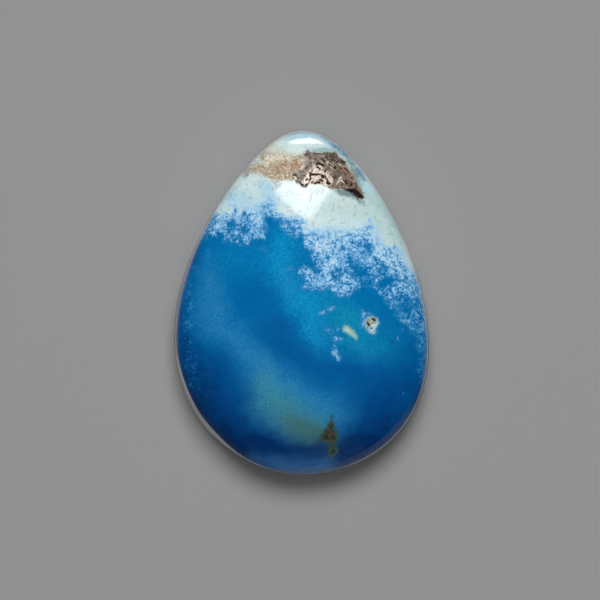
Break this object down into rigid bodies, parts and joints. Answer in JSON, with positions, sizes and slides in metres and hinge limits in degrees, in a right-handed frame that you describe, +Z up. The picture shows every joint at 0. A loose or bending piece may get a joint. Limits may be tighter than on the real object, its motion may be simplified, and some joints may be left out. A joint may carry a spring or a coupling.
{
  "type": "turquoise cabochon",
  "caption": "Pear-shaped turquoise cabochon with a polished dome, a ground girdle and a flat back, ready to be set in a bezel or to lie loose.",
  "frame": {"origin": "in the plane of the flat back, under the middle of the outline's box", "axes": "+Y toward the narrow tip, along the stone's length; +Z up through the dome, away from the flat back; +X to the right as seen from above with the tip up"},
  "size_m": [0.02, 0.027, 0.0062],
  "materials": {
    "turquoise": "polished"
  },
  "bodies": {
    "root": {"cabochon": "turquoise"}
  },
  "joints": []
}
